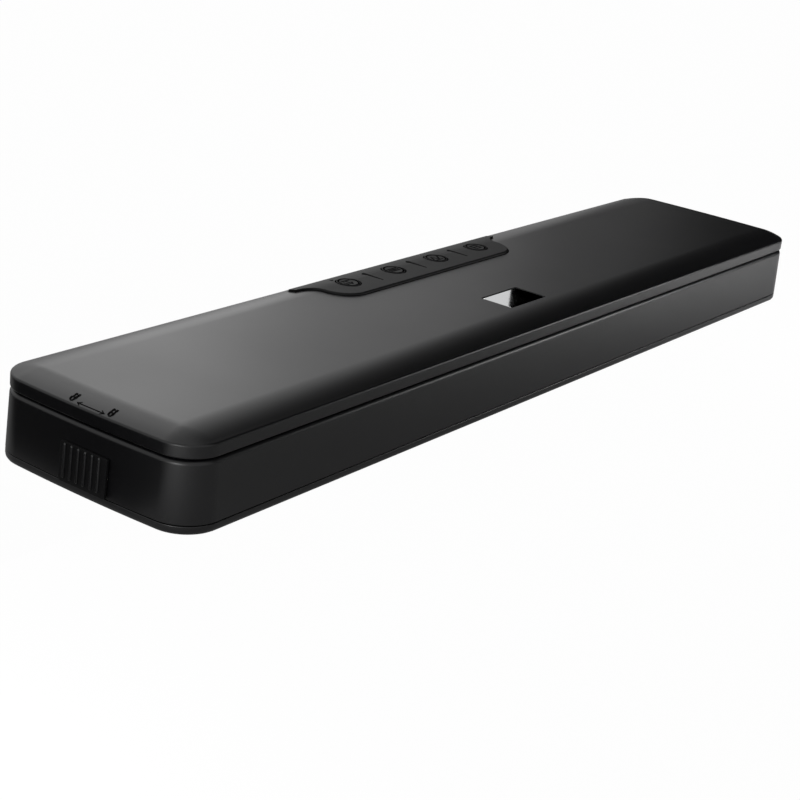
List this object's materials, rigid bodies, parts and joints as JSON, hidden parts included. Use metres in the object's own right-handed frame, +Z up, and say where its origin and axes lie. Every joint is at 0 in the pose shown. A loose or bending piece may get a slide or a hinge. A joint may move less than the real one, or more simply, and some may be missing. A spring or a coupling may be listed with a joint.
{
  "type": "vacuum sealer",
  "caption": "Slim countertop vacuum sealer: long base with pump and heating strip, hinged domed lid with round buttons, window and a lock slider on its left end.",
  "frame": {"origin": "centre of the part's box at the underside of the rubber feet", "axes": "+X along the length towards the right end, +Y towards the lid's hinge, +Z up"},
  "size_m": [0.3657, 0.0802, 0.0302],
  "materials": {
    "housing": "fine satin texture, black",
    "panel": "satin black",
    "inner_black": "matt black moulding",
    "rubber": "matt black",
    "foam": "closed-cell foam, dark grey",
    "silicone_red": "silicone, brick red",
    "phenolic": "phenolic board, brown",
    "nichrome": "drawn strip",
    "ptfe_tape": "coated glass cloth, tan",
    "brass": "plain",
    "steel": "zinc plated",
    "motor_can": "nickel plated",
    "pump_body": "moulded",
    "natural_plastic": "acetal, natural",
    "hose": "silicone tube, translucent white",
    "board": "solder mask, green",
    "winding": "yellow tape",
    "capacitor": "sleeve, dark blue",
    "relay_case": "blue case",
    "glass_tube": "clear",
    "lens": "polished smoked acrylic",
    "indicator": "smoked light guide"
  },
  "bodies": {
    "base": {"base_housing": "housing", "bottom_cover": "housing", "rubber_feet": "rubber", "bottom_screws": "steel", "lower_gasket": "foam", "heater_bar": "phenolic", "heating_strip": "nichrome", "strip_tape": "ptfe_tape", "strip_terminals": "brass", "pump_motor": "motor_can", "pump_head": "pump_body", "pump_strap": "steel", "pump_screws": "steel", "suction_nozzle": "natural_plastic", "vacuum_hose": "hose", "power_board": "board", "transformer": "winding", "capacitors": "capacitor", "relay": "relay_case", "fuse": "glass_tube", "board_screws": "steel", "mains_inlet": "inner_black", "inlet_pins": "steel", "lid_sensor": "glass_tube", "hinge_pins": "steel", "shaft_bearings": "natural_plastic"},
    "slider": {"lock_slider": "housing", "slider_carriage": "natural_plastic"},
    "shaft": {"lock_shaft": "steel", "shaft_crank": "natural_plastic", "left_hook": "natural_plastic", "right_hook": "natural_plastic"},
    "lid": {"lid_cover": "housing", "lid_frame": "inner_black", "upper_gasket": "foam", "pressure_strip": "silicone_red", "left_keeper": "steel", "right_keeper": "steel", "window_seat": "inner_black", "window_lens": "lens", "panel_cover": "panel", "button_board": "board", "button_switches": "steel", "indicator_lens": "indicator", "sensor_magnet": "steel", "lid_screws": "steel", "panel_screws": "steel"},
    "left_button": {"left_button": "panel"},
    "mid_left_button": {"mid_left_button": "panel"},
    "mid_right_button": {"mid_right_button": "panel"},
    "right_button": {"right_button": "panel"}
  },
  "joints": [
    {"name": "lid_hinge", "type": "hinge", "parent": "base", "child": "lid", "pos_m": [0.00088, 0.0379, 0.02225], "axis": [-1, 0, 0], "range_deg": [0, 75]},
    {"name": "lock_slide", "type": "slide", "parent": "base", "child": "slider", "axis": [0, -1, 0], "range_m": [0, 0.012]},
    {"name": "shaft_turn", "type": "hinge", "parent": "base", "child": "shaft", "pos_m": [0.00088, -0.0041, 0.0065], "axis": [1, 0, 0], "range_deg": [0, 60]},
    {"name": "left_press", "type": "slide", "parent": "lid", "child": "left_button", "axis": [0, 0, -1], "range_m": [0, 0.0005], "stiffness_N_per_m": 300, "springref_m": -0.0005},
    {"name": "mid_left_press", "type": "slide", "parent": "lid", "child": "mid_left_button", "axis": [0, 0, -1], "range_m": [0, 0.0005], "stiffness_N_per_m": 300, "springref_m": -0.0005},
    {"name": "mid_right_press", "type": "slide", "parent": "lid", "child": "mid_right_button", "axis": [0, 0, -1], "range_m": [0, 0.0005], "stiffness_N_per_m": 300, "springref_m": -0.0005},
    {"name": "right_press", "type": "slide", "parent": "lid", "child": "right_button", "axis": [0, 0, -1], "range_m": [0, 0.0005], "stiffness_N_per_m": 300, "springref_m": -0.0005}
  ],
  "couplings": [
    {"joint": "shaft_turn", "follows": "lock_slide", "rad_per_m": 87.2}
  ]
}
